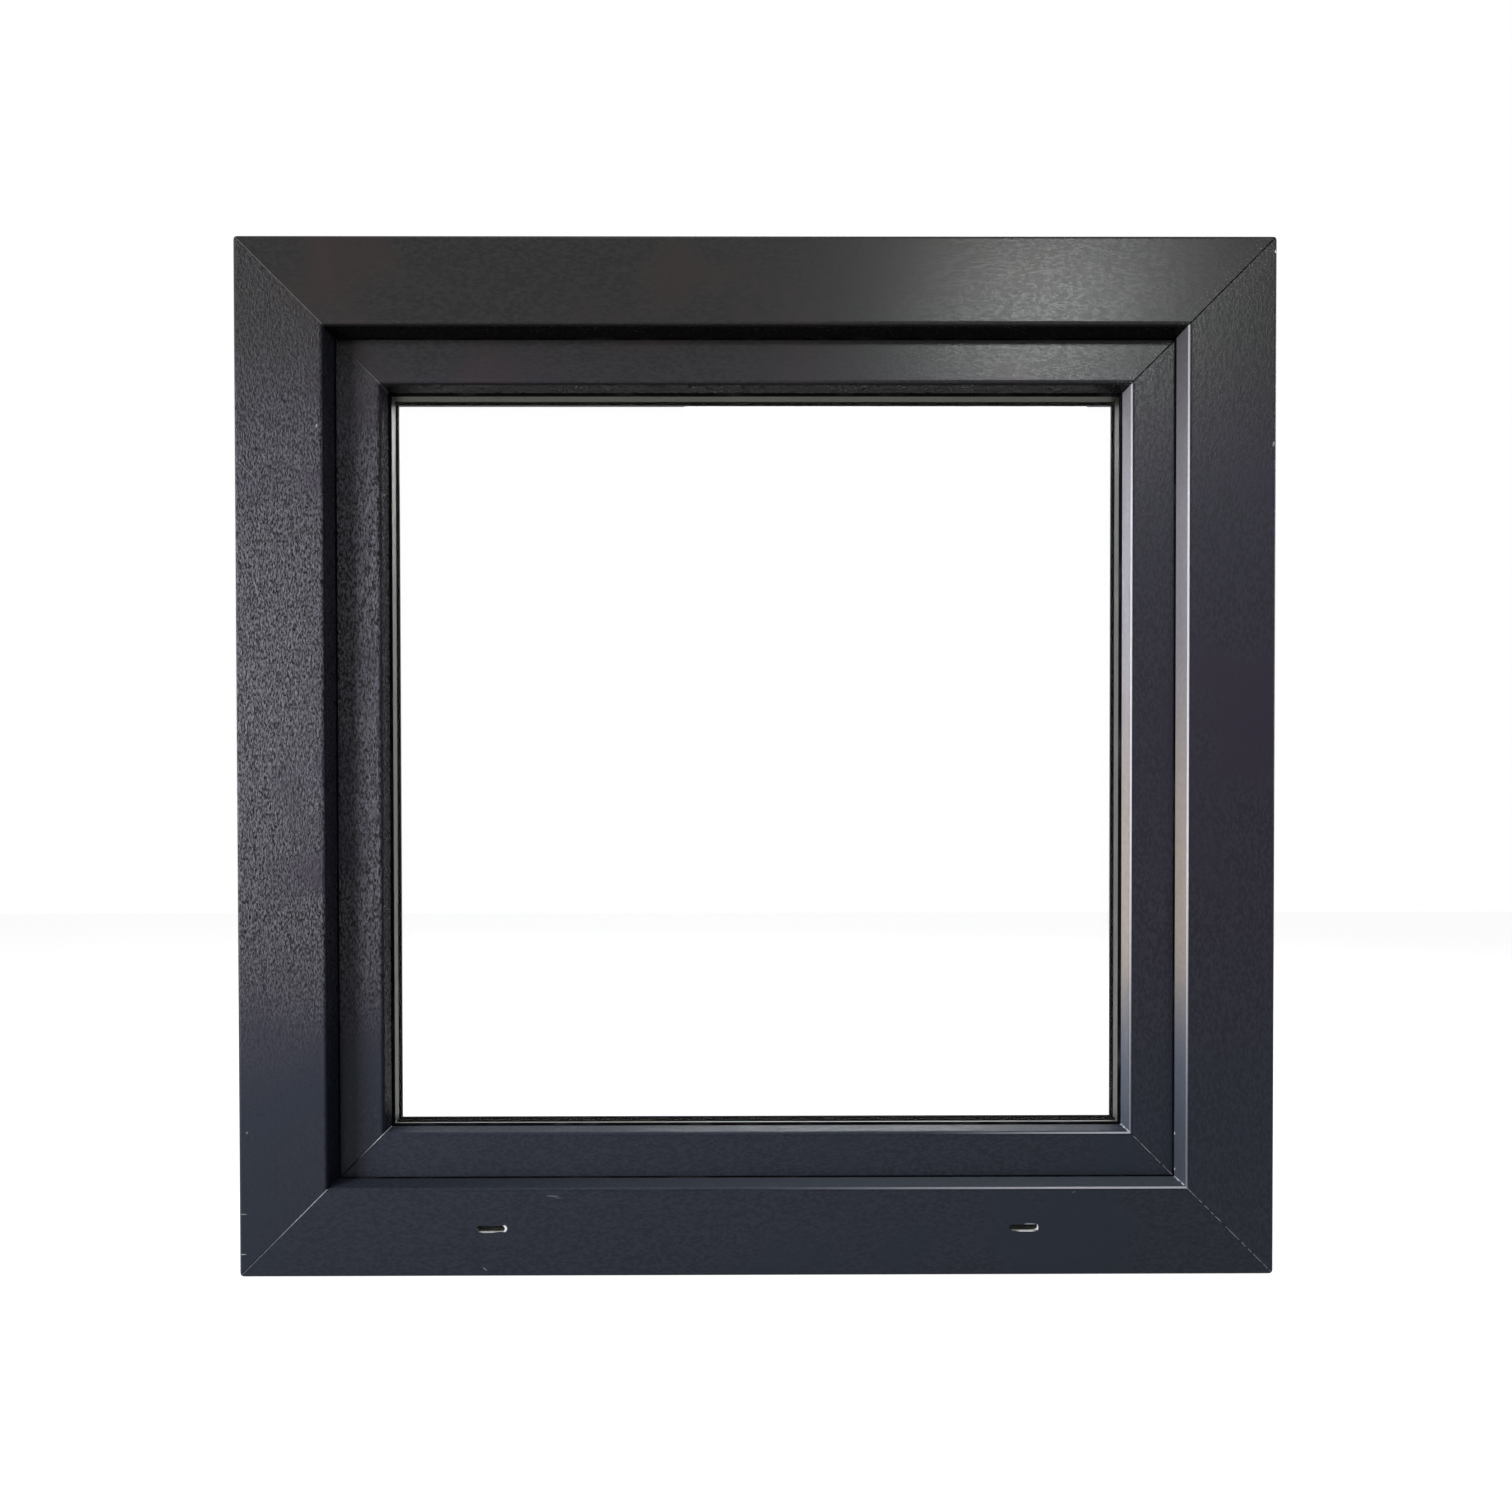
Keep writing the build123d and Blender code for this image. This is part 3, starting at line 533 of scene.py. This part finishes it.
def spacer_metal():
    """Dark grey spacer with a bare metal edge along the outer pane, the rim painted darker at the top as
    shade and paler on the bottom bar as light.
    """
    paint = Paint("spacer_metal")
    streaks = paint.noise(0.0020, 4.0)
    body = paint.mix(streaks, colour(18, 18, 18), colour(28, 27, 26))
    rim = paint.mix(streaks, colour(84, 83, 80), colour(100, 99, 95))
    shaded_rim = paint.mix(streaks, colour(50, 48, 41), colour(64, 62, 53))
    # Painted shade: the rim darker along the top bar
    rim = paint.mix(paint.ramp(paint.z, *shaded_rim_from), rim, shaded_rim)
    above_bottom = paint.ramp(paint.z, *around(spacer_low.z, bottom_bar))
    # Painted light: the rim paler along the bottom bar
    rim = paint.mix(above_bottom, colour(158, 158, 158), rim)
    rim_end = paint.math("ADD", spacer_low.y, paint.blend(above_bottom, bottom_rim_width, rim_width))
    bare = paint.ramp(paint.math("SUBTRACT", paint.y, rim_end), 0.0004, 0.0)
    return paint.surface({
        "Base Color": paint.mix(bare, body, rim),
        "Metallic": bare,
        "Roughness": paint.blend(streaks, 0.45, 0.60),
        "Specular IOR Level": 0.0,
        "Normal": paint.bump(streaks, 0.00004),
    })


def sealant():
    paint = Paint("edge_sealant")
    lumps = paint.noise(0.004, 3.0)
    return paint.surface({
        "Base Color": paint.mix(lumps, colour(24, 24, 25), colour(40, 40, 41)),
        "Roughness": paint.blend(lumps, 0.6, 0.85),
        "Specular IOR Level": 0.1,
        "Normal": paint.bump(lumps, 0.0004),
    })


def packer_plastic():
    paint = Paint("packer_plastic")
    mottle = paint.noise(0.003, 3.0)
    return paint.surface({
        "Base Color": paint.mix(mottle, colour(52, 74, 132), colour(64, 86, 146)),
        "Roughness": paint.blend(mottle, 0.45, 0.60),
        "Normal": paint.bump(mottle, 0.00005),
    })


def handle_paint():
    """Satin powder coat with its fine orange peel, a little polished where hands hold it."""
    paint = Paint("handle_powder_coat")
    peel = paint.noise(0.0011, 2.0)
    rub = paint.ramp(paint.noise(0.030, 3.0), 0.45, 0.75)
    return paint.surface({
        "Base Color": paint.mix(rub, colour(58, 62, 66), colour(72, 75, 79)),
        "Roughness": paint.blend(rub, 0.42, 0.28),
        "Normal": paint.bump(peel, 0.00005),
    })


def zinc():
    paint = Paint("zinc_plate")
    brushed = paint.noise((0.0006, 0.0006, 0.010), 3.0)
    bloom = paint.noise(0.012, 4.0)
    return paint.surface({
        "Base Color": paint.mix(bloom, colour(176, 176, 172), colour(206, 205, 200)),
        "Metallic": 0.9,
        "Roughness": paint.blend(brushed, 0.28, 0.45),
        "Normal": paint.bump(brushed, 0.00002),
    })


def cap_plastic():
    paint = Paint("cap_plastic")
    skin = paint.noise(0.0009, 2.0)
    scuff = paint.ramp(paint.noise(0.006, 5.0), 0.55, 0.80)
    return paint.surface({
        "Base Color": paint.mix(scuff, colour(54, 57, 61), colour(70, 73, 77)),
        "Roughness": paint.blend(scuff, 0.25, 0.45),
        "Normal": paint.bump(skin, 0.00003),
    })


for side, (frame_bar, sash_bar, bead_bar) in MEMBERS.items():
    dress(frame_bar, foil(side, "frame"))
    dress(sash_bar, foil(side, "sash"))
    dress(bead_bar, foil(side, "bead"))

HINGE_METAL = [f"{end}_hinge_{piece}" for end in ("top", "bottom") for piece in ("bearing", "band", "pin")]
HINGE_COVERS = [f"{end}_hinge_{piece}_cap" for end in ("top", "bottom") for piece in ("bearing", "band")]
FINISHES = (
    (rubber(), ("frame_stop_seal", "sash_overlap_seal", "glazing_seal_outside", "glazing_seal_inside")),
    (clear_glass(), ("pane_outside", "pane_inside")),
    (spacer_metal(), ("spacer_bar",)),
    (sealant(), ("edge_seal",)),
    (packer_plastic(), ("glazing_packers",)),
    (handle_paint(), ("handle_rosette", "handle_lever")),
    (zinc(), HINGE_METAL),
    (cap_plastic(), HINGE_COVERS),
)
for material, nodes in FINISHES:
    for node in nodes:
        dress(node, material)


def shown_to_eye(tree):
    """1 for rays from the camera, a reflection or glass, and 0 for rays that carry light."""
    light = tree.nodes.new("ShaderNodeLightPath")
    total = None
    for name in ("Is Camera Ray", "Is Glossy Ray", "Is Transmission Ray"):
        if total is None:
            total = light.outputs[name]
            continue
        most = tree.nodes.new("ShaderNodeMath")
        most.operation = "MAXIMUM"
        tree.links.new(total, most.inputs[0])
        tree.links.new(light.outputs[name], most.inputs[1])
        total = most.outputs[0]
    return total


# Floor, and the white all round
floor_size = 8.0
floor_gap = 0.0005
floor_glow = 0.93           # plain white that the eye gets from the floor besides its lit look
floor_grey = 0.30
ambient = 0.10              # strength of the light from all round
ambient_tint = (0.95, 0.97, 1.0, 1.0)

floor_mesh = bpy.data.meshes.new("floor")
reach = floor_size / 2
corners = ((-reach, -reach), (reach, -reach), (reach, reach), (-reach, reach))
floor_mesh.from_pydata([(x, y, -floor_gap) for x, y in corners], [], [(0, 1, 2, 3)])
floor = bpy.data.objects.new("floor", floor_mesh)
bpy.context.scene.collection.objects.link(floor)
floor_paint = Paint("floor_white")
glow = floor_paint.math("MULTIPLY", shown_to_eye(floor_paint.tree), floor_glow)
matt = floor_paint.add("ShaderNodeBsdfDiffuse", (floor_grey, floor_grey, floor_grey, 1.0))
white = floor_paint.add("ShaderNodeEmission", (1.0, 1.0, 1.0, 1.0), glow)
look = floor_paint.add("ShaderNodeAddShader", matt.outputs[0], white.outputs[0])
floor_mesh.materials.append(floor_paint.finished(look.outputs[0]))

world = bpy.data.worlds.new("studio")
bpy.context.scene.world = world
world.use_nodes = True
tree = world.node_tree
tree.nodes.clear()
lighting = tree.nodes.new("ShaderNodeBackground")
lighting.inputs["Strength"].default_value = ambient
lighting.inputs["Color"].default_value = ambient_tint
backdrop = tree.nodes.new("ShaderNodeBackground")
backdrop.inputs["Color"].default_value = (1.0, 1.0, 1.0, 1.0)
choice = tree.nodes.new("ShaderNodeMixShader")
tree.links.new(shown_to_eye(tree), choice.inputs[0])
tree.links.new(lighting.outputs[0], choice.inputs[1])
tree.links.new(backdrop.outputs[0], choice.inputs[2])
output = tree.nodes.new("ShaderNodeOutputWorld")
tree.links.new(choice.outputs[0], output.inputs["Surface"])


def lamp(name, place, target, size, power, spread=180.0, tint=(1.0, 1.0, 1.0)):
    """A soft rectangular lamp aimed at a point, with the full angle of its beam in degrees."""
    data = bpy.data.lights.new(name, "AREA")
    data.shape = "RECTANGLE"
    data.size, data.size_y = size
    data.energy = power
    data.spread = radians(spread)
    data.color = tint
    lit = bpy.data.objects.new(name, data)
    lit.location = place
    lit.rotation_euler = (Vector(target) - Vector(place)).to_track_quat("-Z", "Y").to_euler()
    bpy.context.scene.collection.objects.link(lit)


middle = (0.0, 0.0, height / 2)
greenish = (0.97, 1.0, 0.98)
lamp("wide_left", (-2.05, -1.35, 0.80), middle, (1.00, 1.10), 70.0)
lamp("left_beam", (-0.93, -0.54, 0.42), (-0.34, -0.03, 0.42), (0.22, 0.40), 0.38, 40.0)
lamp("upper_right", (0.60, -1.60, 1.37), (0.24, -0.03, 0.75), (0.26, 0.18), 1.15, 50.0, greenish)
lamp("overhead", (-0.20, -1.10, 2.10), middle, (0.80, 0.60), 5.0)
lamp("room_side", (0.30, 1.90, 1.75), middle, (1.00, 1.20), 24.0)
lamp("right_side", (2.30, 0.08, 0.90), (0.40, 0.02, 0.40), (0.20, 1.00), 22.0)

# Camera, at the photograph's place: 1 m in front of the outdoor face
camera_place = (-0.0109, -0.9977, 0.3482)
camera_pitch = -0.755       # degrees, down
camera_turn = 0.265         # degrees, to the right
camera_roll = 0.082         # degrees, clockwise
lens = 29.772
sensor = 36.0
frame_shift = (0.0050, 0.0570)

camera_data = bpy.data.cameras.new("photo_camera")
camera_data.lens = lens
camera_data.sensor_width = sensor
camera_data.shift_x, camera_data.shift_y = frame_shift
camera = bpy.data.objects.new("photo_camera", camera_data)
camera.location = camera_place
camera.rotation_euler = (radians(90 + camera_pitch), radians(camera_roll), radians(-camera_turn))
bpy.context.scene.collection.objects.link(camera)
bpy.context.scene.camera = camera
bpy.context.scene.view_settings.view_transform = "Standard"
